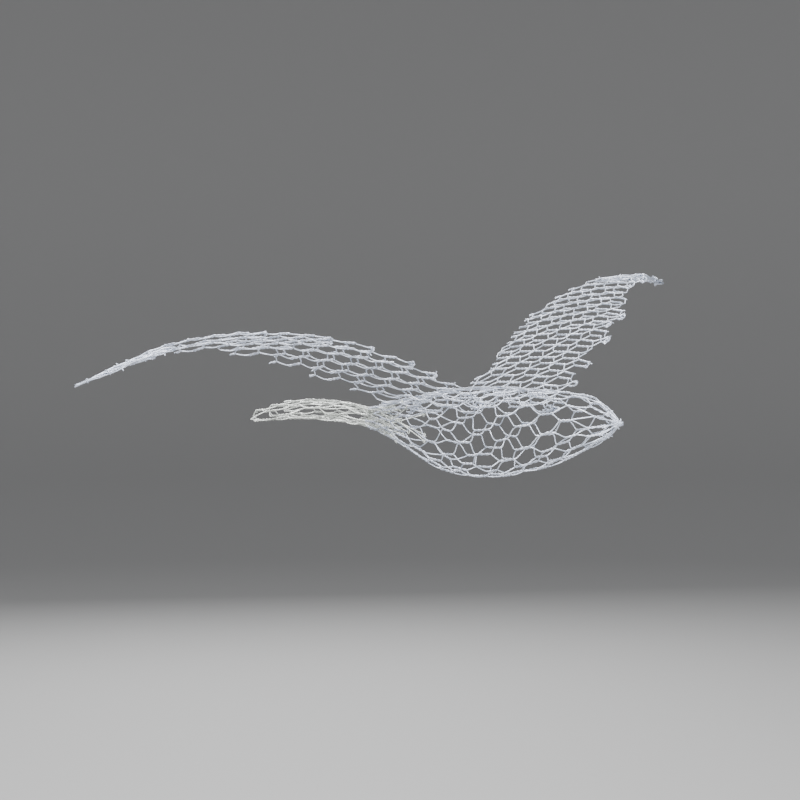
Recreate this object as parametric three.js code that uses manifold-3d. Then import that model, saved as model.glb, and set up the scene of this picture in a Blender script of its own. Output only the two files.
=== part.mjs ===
// Flying bird made of galvanised hexagonal wire netting, in millimetres, +X to the beak, +Y to the bird's left, +Z up.
// Each net is one closed solid: every wire is a three-sided bar, and the bars share their corners where wires meet.
import * as THREE from "three";
import { mergeVertices } from "three/addons/utils/BufferGeometryUtils.js";
import Module from "manifold-3d";

// Netting
const meshWidth = 13; // across one cell, between two twisted sides
const twistLength = 7; // a twisted side of a cell
const legLength = 7.5; // a single wire between two twisted sides
const wireWidth = 0.95; // bar width that stands for one wire
const twistWidth = 1.4; // bar width that stands for two wires wound together
const barLift = 0.6; // top of a bar above its line, as a share of half its width
const barDrop = 1.15; // bottom edge of a bar below its line, as a share of half its width
const stubLength = 2.5; // a cut end of a twisted side
const pieceGap = 0.3; // clear space between the wires of two pieces

// Body
const bodyLength = 157; // beak tip to the open rear end
const bodyDepth = 45; // largest height of the body
const beakReach = 100; // beak tip ahead of the hanging point
const backDrop = -0.5; // top of the back below the hanging point
const bodyUneven = 1.4; // how far a point of the body's net strays from its even place
const seamWidth = 2.1; // overlapping edges of the net along the back, as one bar

// Wings
const wingReach = 190; // half span without the body
const wingStretch = 1.1; // cells pulled wider than in the body's net
const wingGap = 3.5; // between the upper and the lower net at mid chord
const edgeGap = 2.5; // between them along the edges
const wingCamber = 2; // upward bow of the wing's section
const rootBlend = 0.25; // share of the reach over which the root leaves the body's side
const tipChord = 13; // where the wing is this narrow its wires are gathered into one bundle
const bundleThickness = 3.6; // where the wires run together
const tipThickness = 1.7; // of the bundle at its end
const layerSlide = 1.2; // the upper net ahead of its even place, and the lower one behind it
const layerShift = 0.12; // the upper net farther out and the lower one nearer, in columns
const wingUneven = 0.5;
const rootHeight = 0.86; // the body's half width at the wings' roots as a share of half its depth
const rootClear = 1.25; // room for the wires at the root, in widths of a twisted side

// Tail
const tailLength = 71; // behind the body's open end
const nestSlack = 0.4; // for the unevenness of both nets
const tailInset = 14; // its front end stands this far inside the body
const tailWidth = 48;
const tailDepth = 10; // between its upper and lower net, at most
const tailRoll = 8; // degrees, right side down at the rear edge
const tailRise = 2.5; // its middle above the body's open end
const tailUneven = 0.7;

// Body stations from the beak back: share of the length, share of half the depth, drop of the centre as a share of
// the depth below the beak
const bodyStations = [
  [0.0, 0.04, 0.0],
  [0.04, 0.22, 0.01],
  [0.13, 0.58, 0.01],
  [0.3, 0.87, 0.12],
  [0.52, 1.0, 0.21],
  [0.69, 0.89, 0.215],
  [0.83, 0.59, 0.16],
  [0.92, 0.4, 0.125],
  [1.0, 0.29, 0.11],
];

// Wing stations from the root out: share of the reach, leading edge and trailing edge ahead of the hanging point as
// shares of the reach, heights of both edges as shares of the reach
const rightWingStations = [
  [0, 0.198, -0.102, -0.051, -0.059],
  [0.2, 0.128, -0.208, 0.061, 0.027],
  [0.39, 0.039, -0.309, 0.143, 0.105],
  [0.575, -0.114, -0.383, 0.173, 0.124],
  [0.66, -0.228, -0.406, 0.157, 0.123],
  [0.74, -0.342, -0.406, 0.12, 0.11],
  [0.82, -0.423, -0.446, 0.078, 0.076],
  [0.885, -0.484, -0.496, 0.041, 0.04],
];
const leftWingStations = [
  [0, 0.249, -0.051, -0.053, -0.058],
  [0.2, 0.204, -0.129, 0.04, 0.036],
  [0.4, 0.147, -0.19, 0.13, 0.114],
  [0.62, 0.061, -0.222, 0.194, 0.189],
  [0.86, -0.042, -0.209, 0.249, 0.258],
  [0.98, -0.061, -0.134, 0.268, 0.268],
  [1.1, -0.081, -0.098, 0.244, 0.242],
];

// Tail stations behind the body's open end: share of the length, share of half the width, share of half the depth
const tailStations = [
  [0.0, 0.2, 0.94],
  [0.11, 0.26, 1.0],
  [0.35, 0.54, 1.0],
  [0.64, 0.82, 0.8],
  [1.0, 1.0, 0.64],
];

// The seam along the back: place behind the beak, sideways place and lift off the body
const seamStations = [
  [36, -2.6, 0.2],
  [48, -1.4, 0.2],
  [62, -0.4, 0.6],
  [78, 0, 1.1],
  [96, 0.3, 1.1],
  [114, 0.2, 0.8],
  [134, 0, 0.4],
  [151, 0.2, 0.2],
];

// Where each wing's bundle starts before the last column of cells, and how far it lies from the trailing edge there
// as a share of the chord
const rightBundle = { lead: -1.2, place: 0.5 };
const leftBundle = { lead: 3, place: 0.1 };

const galvanised = { color: 0xa9adaf, roughness: 0.45, metalness: 0.85 };

// Keep the seeds of neighbouring points apart
const seedSteps = { row: 31, column: 17, cell: 3, end: 5, second: 0.37 };

// A steady pseudo-random number between -1 and 1
function scatter(seed) {
  const value = Math.sin(seed * 127.1 + 11.7) * 43758.5453;
  return 2 * (value - Math.floor(value)) - 1;
}

// A smooth curve through rows of numbers, read at a share between 0 and 1 of the first column
function readStations(stations, share, column) {
  const last = stations.length - 1;
  let k = 0;
  while (k < last - 1 && share > stations[k + 1][0]) k++;
  const [x0, x1] = [stations[k][0], stations[k + 1][0]];
  const t = (share - x0) / (x1 - x0);
  const slope = (m) => {
    const a = stations[Math.max(m - 1, 0)];
    const b = stations[Math.min(m + 1, last)];
    return (b[column] - a[column]) / (b[0] - a[0]);
  };
  const [y0, y1] = [stations[k][column], stations[k + 1][column]];
  const [m0, m1] = [slope(k) * (x1 - x0), slope(k + 1) * (x1 - x0)];
  const [t2, t3] = [t * t, t * t * t];
  return (2 * t3 - 3 * t2 + 1) * y0 + (t3 - 2 * t2 + t) * m0 + (3 * t2 - 2 * t3) * y1 + (t3 - t2) * m1;
}

// Farthest that the corner between two wires may stand from their meeting point, in half widths
const cornerLimit = 2.4;

// The wires of a net: points with a normal, and the wires between them
class Net {
  constructor() {
    this.points = [];
    this.wires = [];
  }
  addPoint(place, normal) {
    this.points.push({ place, normal: normal.clone().normalize() });
    return this.points.length - 1;
  }
  addWire(a, b, width) {
    this.wires.push({ a, b, width });
  }
  degree(point) {
    return this.wires.filter((wire) => wire.a === point || wire.b === point).length;
  }
  // Takes away single wires that end in the air, until none is left
  prune() {
    for (let again = true; again; ) {
      const count = this.points.map(() => 0);
      this.wires.forEach(({ a, b }) => {
        count[a]++;
        count[b]++;
      });
      const kept = this.wires.filter(({ a, b, width }) => width > wireWidth || (count[a] > 1 && count[b] > 1));
      again = kept.length < this.wires.length;
      this.wires = kept;
    }
  }
  // Keeps only the wires that hang together with the largest piece
  keepLargest() {
    const group = this.points.map((_, index) => index);
    const find = (index) => {
      while (group[index] !== index) index = group[index];
      return index;
    };
    this.wires.forEach(({ a, b }) => {
      group[find(a)] = find(b);
    });
    const sizes = new Map();
    this.wires.forEach(({ a }) => sizes.set(find(a), (sizes.get(find(a)) || 0) + 1));
    const largest = [...sizes].sort((one, other) => other[1] - one[1])[0][0];
    this.wires = this.wires.filter(({ a }) => find(a) === largest);
  }

  // One closed surface round all the wires
  geometry() {
    const around = this.points.map(() => []);
    this.wires.forEach((wire, index) => {
      around[wire.a].push({ index, other: wire.b });
      around[wire.b].push({ index, other: wire.a });
    });
    const positions = [];
    const triangles = [];
    const put = (vector) => positions.push(vector.x, vector.y, vector.z) / 3 - 1;
    const corners = new Map();
    around.forEach((ends, point) => {
      if (!ends.length) return;
      const { place, normal } = this.points[point];
      const side = new THREE.Vector3().crossVectors(normal, Math.abs(normal.x) < 0.9 ? X : Y).normalize();
      const up = new THREE.Vector3().crossVectors(normal, side);
      ends.forEach((end) => {
        const way = this.points[end.other].place.clone().sub(place);
        end.angle = Math.atan2(way.dot(up), way.dot(side));
        end.half = this.wires[end.index].width / 2;
      });
      ends.sort((one, other) => one.angle - other.angle);
      const widest = Math.max(...ends.map((end) => end.half));
      const bottom = put(place.clone().addScaledVector(normal, -barDrop * widest));
      // The corner between each wire and the next one round the point
      const between = ends.map((end, k) => {
        const next = ends[(k + 1) % ends.length];
        const turn = (next.angle - end.angle + (k === ends.length - 1 ? 2 * Math.PI : 0)) || 2 * Math.PI;
        const middle = end.angle + turn / 2;
        const half = (end.half + next.half) / 2;
        const reach = ends.length === 1 ? half : Math.min(half / Math.sin(turn / 2), cornerLimit * half);
        return { middle, reach };
      });
      const lift = barLift * widest;
      const at = (angle, reach) =>
        put(
          place
            .clone()
            .addScaledVector(side, Math.cos(angle) * reach)
            .addScaledVector(up, Math.sin(angle) * reach)
            .addScaledVector(normal, lift),
        );
      if (ends.length === 1) {
        const left = at(ends[0].angle + Math.PI / 2, ends[0].half);
        const right = at(ends[0].angle - Math.PI / 2, ends[0].half);
        corners.set(`${point}/${ends[0].index}`, { left, right, bottom });
        triangles.push(left, bottom, right);
        return;
      }
      const ring = between.map(({ middle, reach }) => at(middle, reach));
      ends.forEach((end, k) => {
        const right = ring[(k + ends.length - 1) % ends.length];
        corners.set(`${point}/${end.index}`, { left: ring[k], right, bottom });
      });
      for (let k = 1; k + 1 < ring.length; k++) triangles.push(ring[0], ring[k], ring[k + 1]);
    });
    // A wire's left corner at one end faces its right corner at the other
    this.wires.forEach(({ a, b }, index) => {
      const start = corners.get(`${a}/${index}`);
      const end = corners.get(`${b}/${index}`);
      triangles.push(start.right, end.left, end.right, start.right, end.right, start.left);
      triangles.push(start.right, start.bottom, end.bottom, start.right, end.bottom, end.left);
      triangles.push(start.left, end.right, end.bottom, start.left, end.bottom, start.bottom);
    });
    const geometry = new THREE.BufferGeometry();
    geometry.setAttribute("position", new THREE.Float32BufferAttribute(positions, 3));
    geometry.setIndex(triangles);
    return geometry;
  }
}

const X = new THREE.Vector3(1, 0, 0);
const Y = new THREE.Vector3(0, 1, 0);

// How far a single wire advances along the twists when it has to reach a neighbour half a cell away
function legAdvance(halfCell) {
  return Math.sqrt(Math.max(legLength ** 2 - halfCell ** 2, 0.25 * legLength ** 2));
}

const lastTwistShare = 0.6; // a last twisted side shorter than this share of a whole one is left out
const turnLimit = 0.3; // sideways unevenness of a point, in columns

// A net wrapped round a tube: twisted sides run along it, and columns stand round it.
// start and end are places along the tube, sectionAt gives its outline there.
function wrapTube({ net, columns, start, end, sectionAt, wobble }) {
  const rows = [];
  for (let along = start, k = 0; ; k++) {
    rows.push(along);
    const spacing = sectionAt(along + twistLength).girth / columns;
    along += (twistLength + legAdvance(spacing)) * sectionAt(along).advance;
    if (along + lastTwistShare * twistLength > end) break;
  }
  const seat = (along, column, seed) => {
    const shift = wobble * scatter(seed);
    const turn = (0.5 * wobble * scatter(seed + seedSteps.second)) / (sectionAt(along).girth / columns);
    return sectionAt(along + shift).seat((column + THREE.MathUtils.clamp(turn, -turnLimit, turnLimit)) / columns);
  };
  const low = new Map();
  const high = new Map();
  rows.forEach((along, row) => {
    for (let column = row % 2; column < columns; column += 2) {
      const key = `${row},${column}`;
      const a = seat(along, column, seedSteps.row * row + column);
      const length = twistLength * sectionAt(along).advance;
      const b = seat(Math.min(along + length, end), column, seedSteps.row * row + column + 0.5);
      low.set(key, net.addPoint(a.place, a.normal));
      high.set(key, net.addPoint(b.place, b.normal));
      net.addWire(low.get(key), high.get(key), twistWidth);
      [-1, 1].forEach((step) => {
        const before = high.get(`${row - 1},${(column + step + columns) % columns}`);
        if (before !== undefined) net.addWire(before, low.get(key), wireWidth);
      });
    }
  });
  return { rows, low, high };
}

// Body: a hollow spindle, closed to a point at the beak and open behind
function bodyCentreHeight(share) {
  const deepest = Math.max(...bodyStations.map((row) => row[2]));
  const backHeight = bodyDepth / 2 - deepest * bodyDepth;
  return backDrop - backHeight - readStations(bodyStations, share, 2) * bodyDepth;
}
function bodyRadius(share) {
  return (readStations(bodyStations, share, 1) * bodyDepth) / 2;
}
function bodySection(along) {
  const share = Math.min(Math.max(along / bodyLength, 0), 1);
  const radius = bodyRadius(share);
  const step = 0.01;
  const next = Math.min(share + step, 1);
  const rise = (bodyRadius(next) - bodyRadius(next - step)) / (step * bodyLength);
  return {
    girth: 2 * Math.PI * radius,
    advance: 1 / Math.hypot(1, rise),
    seat: (turn) => {
      const angle = 2 * Math.PI * turn;
      const out = new THREE.Vector3(0, Math.sin(angle), Math.cos(angle));
      const place = new THREE.Vector3(beakReach - along, 0, bodyCentreHeight(share)).addScaledVector(out, radius);
      return { place, normal: out.clone().addScaledVector(X, rise) };
    },
  };
}
// How far the body's side stands out at a place ahead of the hanging point and a height
function bodySide(ahead, height) {
  const share = Math.min(Math.max((beakReach - ahead) / bodyLength, 0), 1);
  const above = height - bodyCentreHeight(share);
  return Math.sqrt(Math.max(bodyRadius(share) ** 2 - above ** 2, 0));
}
const bodyColumns = 2 * Math.round((Math.PI * bodyDepth) / meshWidth);
const gatherLength = 0.04 * bodyLength; // wires bound together behind the beak's tip
const netStart = 0.055 * bodyLength; // where the gathered wires of the beak open into cells

function bodyNet() {
  const net = new Net();
  const { low } = wrapTube({
    net,
    columns: bodyColumns,
    start: netStart,
    end: bodyLength,
    sectionAt: bodySection,
    wobble: bodyUneven,
  });
  const knot = gatherLength * 0.6;
  for (let column = 0; column < bodyColumns; column += 2) {
    const { place, normal } = bodySection(knot).seat(column / bodyColumns);
    const heart = new THREE.Vector3(beakReach - knot, 0, bodyCentreHeight(0));
    net.addWire(net.addPoint(place.lerp(heart, 0.5), normal), low.get(`0,${column}`), twistWidth);
  }
  net.prune();
  return net;
}

// The net's overlapping edges along the back
function backSeam() {
  const net = new Net();
  const points = seamStations.map(([along, aside, lift]) => {
    const { girth, seat } = bodySection(along);
    const { place, normal } = seat(aside / girth);
    return net.addPoint(place.addScaledVector(normal.normalize(), lift), normal);
  });
  points.slice(1).forEach((point, k) => net.addWire(points[k], point, seamWidth));
  return net.geometry();
}

// Radii of the bound wires behind the beak's tip and at it, as shares of half the body's depth
const beakThick = 0.13;
const beakTip = 0.045;

// The wires bound together at the beak's tip
function beakGather() {
  const length = gatherLength;
  const radius = beakThick * (bodyDepth / 2);
  const tip = beakTip * (bodyDepth / 2);
  const profile = [
    [0, 0],
    [radius, 0],
    [radius * 0.75, length / 2],
    [tip, length],
    [0, length],
  ].map(([r, h]) => new THREE.Vector2(r, h));
  const geometry = new THREE.LatheGeometry(profile, 9);
  geometry.rotateZ(-Math.PI / 2);
  geometry.translate(beakReach - length, 0, bodyCentreHeight(0));
  return geometry;
}

// Wings: an upper and a lower net, close together, whose cut ends are bent over to each other along the edges
function wingSurface(stations, side) {
  const rootGap = rootClear * twistWidth + pieceGap;
  const rootOut = rootHeight * (bodyDepth / 2) + rootGap;
  const rootChord = (stations[0][1] - stations[0][2]) * wingReach;
  const edge = (share, column, height) =>
    new THREE.Vector3(
      readStations(stations, share, column) * wingReach,
      side * (rootOut + share * wingReach),
      readStations(stations, share, height) * wingReach + backDrop,
    );
  const lastShare = stations[stations.length - 1][0];
  const middle = (share) => edge(share, 1, 3).lerp(edge(share, 2, 4), 0.5);
  // Shares of the reach at equal steps along the wing's middle line
  const steps = [0];
  const fine = 400;
  let travelled = 0;
  let before = middle(0);
  for (let k = 1; k <= fine; k++) {
    const share = (lastShare * k) / fine;
    const here = middle(share);
    const next = travelled + here.distanceTo(before);
    while (next >= (steps.length * wingStretch * meshWidth) / 2) steps.push(share);
    travelled = next;
    before = here;
  }
  const shareOf = (column) => {
    const low = Math.max(0, Math.min(Math.floor(column), steps.length - 2));
    return steps[low] + (column - low) * (steps[low + 1] - steps[low]);
  };
  const probe = 0.02;
  // layer is 1 above and -1 below, along is the place ahead of the hanging point
  const seat = (column, along, layer) => {
    const share = shareOf(column);
    const lead = edge(share, 1, 3);
    const trail = edge(share, 2, 4);
    const across = (along - trail.x) / (lead.x - trail.x);
    const chord = lead.clone().sub(trail).normalize();
    const out = middle(Math.min(share + probe, lastShare)).sub(middle(Math.max(share - probe, 0)));
    const normal = new THREE.Vector3().crossVectors(chord, out).multiplyScalar(side).normalize();
    const inner = 1 - Math.min(Math.abs(2 * across - 1), 1) ** 3;
    const bow = wingCamber * inner * Math.min(1, (lead.x - trail.x) / rootChord);
    const half = (edgeGap + (wingGap - edgeGap) * inner) / 2;
    const place = trail.clone().lerp(lead, across).addScaledVector(normal, bow + layer * half);
    const leave = Math.max(1 - share / rootBlend, 0) ** 2;
    const seated = side * (bodySide(place.x, place.z) + rootGap + share * wingReach);
    place.y += leave * (seated - place.y);
    const turned = normal.clone().multiplyScalar(layer);
    return { place, normal: turned, chord };
  };
  return {
    columns: steps.length - 1,
    range: (column) => [edge(shareOf(column), 2, 4).x, edge(shareOf(column), 1, 3).x],
    seat,
    edge: (column) => [edge(shareOf(column), 2, 4), edge(shareOf(column), 1, 3)],
    middle,
  };
}

const outermost = 0.6 * meshWidth; // points this near to the outermost one run into the bundle
const joinAhead = 1.4; // columns from the last cells to where their wires join the bundle
const drawnIn = { across: 0.12, through: 0.3 }; // how much of their spacing the wires keep there

function wingNet(stations, side, bundle) {
  const net = new Net();
  const surface = wingSurface(stations, side);
  const period = 2 * (twistLength + legAdvance(meshWidth / 2));
  const rearmost = Math.min(...stations.map((row) => row[2])) * wingReach;
  const foremost = Math.max(...stations.map((row) => row[1])) * wingReach;
  const start = Math.floor(rearmost / period) * period;
  const count = Math.ceil((foremost - start) / period) + 1;
  let lastColumn = surface.columns - 1;
  const chordAt = (column) => surface.range(column)[1] - surface.range(column)[0];
  while (chordAt(lastColumn - 1) < tipChord) lastColumn--;
  const ends = [new Map(), new Map()];
  [1, -1].forEach((layer, sheet) => {
    const points = new Map();
    // end is 0 at the rear of a twisted side, 1 at its front and 2 where it is cut
    const put = (column, k, end, along, lean) => {
      const seed = seedSteps.column * column + seedSteps.cell * k + seedSteps.end * end + layer;
      const outward = column > 0 ? layerShift * layer : 0;
      const shifted = column + outward + (wingUneven / meshWidth) * 2 * scatter(seed);
      const slid = along + layerSlide * layer + wingUneven * scatter(seed + seedSteps.second);
      const { place, normal, chord } = surface.seat(shifted, slid, layer);
      const point = net.addPoint(place, normal.addScaledVector(chord, lean));
      points.set(`${column},${k},${end}`, point);
      return point;
    };
    for (let column = 0; column <= lastColumn; column++) {
      const [back, front] = surface.range(column);
      for (let k = 0; k < count; k++) {
        const centre = start + k * period + (column % 2 ? period / 2 : 0);
        const places = [centre - twistLength / 2, centre + twistLength / 2];
        const holds = places.map((along) => along > back && along < front);
        const [a, b] = places.map((along, end) => (holds[end] ? put(column, k, end, along, 0) : undefined));
        if (holds[0] && holds[1]) net.addWire(a, b, twistWidth);
        else if ((holds[0] || holds[1]) && (column + k) % 3) {
          const reach = holds[0] ? places[0] + stubLength : places[1] - stubLength;
          const cut = put(column, k, 2, reach, holds[0] ? 1 : -1);
          net.addWire(holds[0] ? a : b, cut, twistWidth);
          ends[sheet].set(`${column},${k}`, cut);
        }
      }
    }
    for (let column = 0; column <= lastColumn; column++)
      for (let k = 0; k < count; k++) {
        const from = points.get(`${column},${k},1`);
        const ahead = column % 2 ? k + 1 : k;
        [column - 1, column + 1].forEach((neighbour) => {
          const to = points.get(`${neighbour},${ahead},0`);
          if (from !== undefined && to !== undefined) net.addWire(from, to, wireWidth);
        });
      }
  });
  ends[0].forEach((end, key) => {
    const other = ends[1].get(key);
    if (other !== undefined) net.addWire(end, other, twistWidth);
  });
  net.prune();
  net.keepLargest();
  // The wires of the outermost cells run together into the bundle
  const firstColumn = Math.min(lastColumn - bundle.lead, surface.columns - 2);
  const rings = bundleRings(surface, firstColumn, bundle.place);
  const gathered = rings.findIndex(({ column }) => column > lastColumn + joinAhead);
  const { centre, normal, chord } = rings[Math.max(gathered, 1)];
  const kept = new Set(net.wires.flatMap(({ a, b }) => [a, b]));
  const outward = (point) => side * net.points[point].place.y;
  const farthest = Math.max(...[...kept].map(outward));
  kept.forEach((point) => {
    if (outward(point) < farthest - outermost || net.degree(point) > 2) return;
    const offset = net.points[point].place.clone().sub(centre);
    const seat = centre
      .clone()
      .addScaledVector(chord, offset.dot(chord) * drawnIn.across)
      .addScaledVector(normal, offset.dot(normal) * drawnIn.through);
    net.addWire(point, net.addPoint(seat, net.points[point].normal), wireWidth);
  });
  return { net, bundle: tipBundle(rings, side) };
}

const ringStep = 1.4; // between sections of the bundle, in columns
const bundleWide = 0.62; // half its width as a share of its thickness
const bundleUneven = 0.12;
const centring = 1.4; // how fast the bundle comes to the middle of the chord
const bundleTwist = 0.35; // turn from one section to the next, in sides

// Sections of the gathered wires at a wing's tip, which thin out to one round strand
function bundleRings(surface, firstColumn, firstPlace) {
  const rings = [];
  const columns = surface.columns - 0.01;
  const count = Math.ceil((columns - firstColumn) / ringStep) + 1;
  for (let k = 0; k <= count; k++) {
    const share = k / count;
    const column = THREE.MathUtils.lerp(firstColumn, columns, share);
    const [trail, lead] = surface.edge(column);
    const { normal, chord } = surface.seat(column, (trail.x + lead.x) / 2, 1);
    const place = THREE.MathUtils.lerp(firstPlace, 0.5, Math.min(centring * share, 1));
    const centre = trail.clone().lerp(lead, place);
    const uneven = 1 + bundleUneven * scatter(k * seedSteps.cell);
    const thick = THREE.MathUtils.lerp(bundleThickness, tipThickness, share) * uneven;
    rings.push({ column, centre, normal, chord, wide: bundleWide * thick, thick: thick / 2 });
  }
  return rings;
}

// The bundle as a closed solid, its sections turned a little against each other as twisted by hand
function tipBundle(rings, side) {
  const sides = 6;
  const positions = [];
  rings.forEach(({ centre, normal, chord, wide, thick }, k) => {
    for (let m = 0; m < sides; m++) {
      const angle = (2 * Math.PI * (m + bundleTwist * k)) / sides;
      const point = centre
        .clone()
        .addScaledVector(chord, Math.cos(angle) * wide)
        .addScaledVector(normal, Math.sin(angle) * thick);
      positions.push(point.x, point.y, point.z);
    }
  });
  const triangles = [];
  const last = (rings.length - 1) * sides;
  for (let k = 0; k < last; k += sides)
    for (let m = 0; m < sides; m++) {
      const next = (m + 1) % sides;
      triangles.push(k + m, k + next, k + sides + next, k + m, k + sides + next, k + sides + m);
    }
  for (let m = 1; m + 1 < sides; m++) triangles.push(0, m + 1, m, last, last + m, last + m + 1);
  const geometry = new THREE.BufferGeometry();
  geometry.setAttribute("position", new THREE.Float32BufferAttribute(positions, 3));
  geometry.setIndex(side < 0 ? triangles : triangles.reverse());
  return geometry;
}

// Tail: a net tube that starts inside the body's open end and is pressed flat to a fan
const tailFront = beakReach - bodyLength + tailInset;
const tailWhole = tailInset + tailLength;
const nestGap = ((barLift + barDrop) * twistWidth) / 2 + pieceGap + nestSlack;
function tailShape(along) {
  const inside = Math.min(along / tailInset, 1);
  const share = Math.min(Math.max((along - tailInset) / tailLength, 0), 1);
  const bodyShare = 1 - (tailInset - Math.min(along, tailInset)) / bodyLength;
  const nested = bodyRadius(bodyShare) - nestGap;
  const wide = inside < 1 ? nested : (readStations(tailStations, share, 1) * tailWidth) / 2;
  const high = inside < 1 ? nested : (readStations(tailStations, share, 2) * tailDepth) / 2;
  return { share, bodyShare, wide, high };
}
const rearPower = 0.75; // below 1 its section is fuller than an ellipse at the rear edge

function tailSection(along) {
  const { share, bodyShare, wide, high } = tailShape(Math.min(along, tailWhole));
  const samples = 96;
  const power = THREE.MathUtils.lerp(1, rearPower, share);
  const bend = (value) => Math.sign(value) * Math.abs(value) ** power;
  const outline = [];
  for (let k = 0; k <= samples; k++) {
    const angle = (2 * Math.PI * k) / samples;
    outline.push(new THREE.Vector3(0, bend(Math.sin(angle)) * wide, bend(Math.cos(angle)) * high));
  }
  const lengths = [0];
  for (let k = 1; k <= samples; k++) lengths.push(lengths[k - 1] + outline[k].distanceTo(outline[k - 1]));
  const girth = lengths[samples];
  const roll = THREE.MathUtils.degToRad(tailRoll) * share;
  const rise = tailRise * Math.sin(Math.PI * share);
  const centre = new THREE.Vector3(tailFront - along, 0, bodyCentreHeight(bodyShare) + rise);
  return {
    girth,
    advance: 1,
    seat: (turn) => {
      const target = (turn - Math.floor(turn)) * girth;
      let k = 0;
      while (k < samples - 1 && lengths[k + 1] < target) k++;
      const part = (target - lengths[k]) / (lengths[k + 1] - lengths[k]);
      const offset = outline[k].clone().lerp(outline[k + 1], part);
      const along3 = outline[k + 1].clone().sub(outline[k]).normalize();
      const normal = new THREE.Vector3(0, along3.z, -along3.y).negate();
      offset.applyAxisAngle(X, roll);
      normal.applyAxisAngle(X, roll);
      return { place: offset.add(centre), normal };
    },
  };
}
const foldLimit = 1.8; // longest fold between two cut ends, in tail depths

function tailNet() {
  const net = new Net();
  const girth = tailSection(tailWhole).girth;
  const columns = 4 * Math.round(girth / (2 * meshWidth));
  const { rows, high } = wrapTube({
    net,
    columns,
    start: 0,
    end: tailWhole,
    sectionAt: tailSection,
    wobble: tailUneven,
  });
  // The cut ends of the last rows are bent over to each other
  const back = X.clone().negate();
  [rows.length - 1, rows.length - 2].forEach((row) => {
    for (let column = 0; column < columns; column++) {
      const other = (columns + columns / 2 - column) % columns;
      const [a, b] = [high.get(`${row},${column}`), high.get(`${row},${other}`)];
      if (a === undefined || b === undefined || other <= column || net.degree(a) > 1) continue;
      if (net.points[a].place.distanceTo(net.points[b].place) > foldLimit * tailDepth) continue;
      [a, b].forEach((end) => net.points[end].normal.add(back).normalize());
      net.addWire(a, b, twistWidth);
    }
  });
  // A last twisted side that found no partner is left out
  const loose = new Set([...high.values()].filter((point) => net.degree(point) === 1));
  net.wires = net.wires.filter(({ b }) => !loose.has(b));
  net.prune();
  return net;
}

const wasm = await Module();
wasm.setup();

// A closed geometry as a solid that can be joined to another
function solidOf(geometry) {
  geometry.deleteAttribute("normal");
  geometry.deleteAttribute("uv");
  const merged = mergeVertices(geometry, 1e-4);
  return new wasm.Manifold(
    new wasm.Mesh({
      numProp: 3,
      vertProperties: merged.attributes.position.array,
      triVerts: new Uint32Array(merged.index.array),
    }),
  );
}
// Closed geometries joined, without the slivers that the join leaves
function joined(...geometries) {
  const finest = 0.02;
  const whole = geometries.map(solidOf).reduce((one, other) => one.add(other));
  const mesh = whole.simplify(finest).getMesh();
  const geometry = new THREE.BufferGeometry();
  geometry.setAttribute("position", new THREE.BufferAttribute(new Float32Array(mesh.vertProperties), 3));
  geometry.setIndex([...mesh.triVerts]);
  return geometry;
}

function piece(name, geometry) {
  const mesh = new THREE.Mesh(geometry, new THREE.MeshStandardMaterial(galvanised));
  mesh.name = name;
  return mesh;
}

function wingPiece(name, stations, side, gather) {
  const { net, bundle } = wingNet(stations, side, gather);
  return piece(name, joined(net.geometry(), bundle));
}

const bird = new THREE.Group();
bird.add(piece("body_net", joined(bodyNet().geometry(), beakGather(), backSeam())));
bird.add(wingPiece("right_wing_net", rightWingStations, -1, rightBundle));
bird.add(wingPiece("left_wing_net", leftWingStations, 1, leftBundle));
bird.add(piece("tail_net", tailNet().geometry()));

export default bird;
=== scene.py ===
import math

import bpy
from mathutils import Matrix, Vector


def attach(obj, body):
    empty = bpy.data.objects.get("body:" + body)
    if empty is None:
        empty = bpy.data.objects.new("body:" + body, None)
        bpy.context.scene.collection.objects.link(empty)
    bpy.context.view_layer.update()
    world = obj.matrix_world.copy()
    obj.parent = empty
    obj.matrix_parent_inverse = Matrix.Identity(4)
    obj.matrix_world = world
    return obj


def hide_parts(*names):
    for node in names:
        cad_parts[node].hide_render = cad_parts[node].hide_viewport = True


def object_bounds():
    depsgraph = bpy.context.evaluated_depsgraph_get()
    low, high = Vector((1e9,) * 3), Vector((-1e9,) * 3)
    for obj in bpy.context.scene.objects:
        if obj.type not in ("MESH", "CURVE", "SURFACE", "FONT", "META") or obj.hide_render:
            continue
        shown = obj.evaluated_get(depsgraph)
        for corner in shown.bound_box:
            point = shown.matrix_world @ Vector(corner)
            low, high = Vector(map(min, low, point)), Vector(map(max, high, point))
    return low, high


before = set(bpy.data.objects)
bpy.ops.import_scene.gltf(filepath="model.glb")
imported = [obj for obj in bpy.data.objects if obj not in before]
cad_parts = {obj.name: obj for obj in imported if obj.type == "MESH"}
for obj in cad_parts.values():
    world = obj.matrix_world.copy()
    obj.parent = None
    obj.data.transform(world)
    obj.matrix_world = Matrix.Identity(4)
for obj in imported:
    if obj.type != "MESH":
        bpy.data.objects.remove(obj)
cadLow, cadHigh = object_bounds()
print("frame loaded")

mm = 0.001  # lengths below are in millimetres

# hexagonal netting, the same for all pieces
netting = {
    "meshWidth": 13,
    "twistLength": 7,
    "legLength": 7.5,
    "twistWidth": 1.4,
    "stubLength": 2.5,
    "pieceGap": 0.3,
    "wireRadius": 0.32,
    "strandOffset": 0.29,  # from the middle of a twisted side to each of its two wires
    "spread": 0.4,  # how far the two wires open at its ends
    "halfTurns": 3,
    "halfTurnSteps": 4,
    "legSteps": 8,
    "bendReach": 0.5,
    "sag": 0.25,
    "sink": 0.3,  # of the wires' middle lines below the CAD's
    "sides": 6,
}

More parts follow.
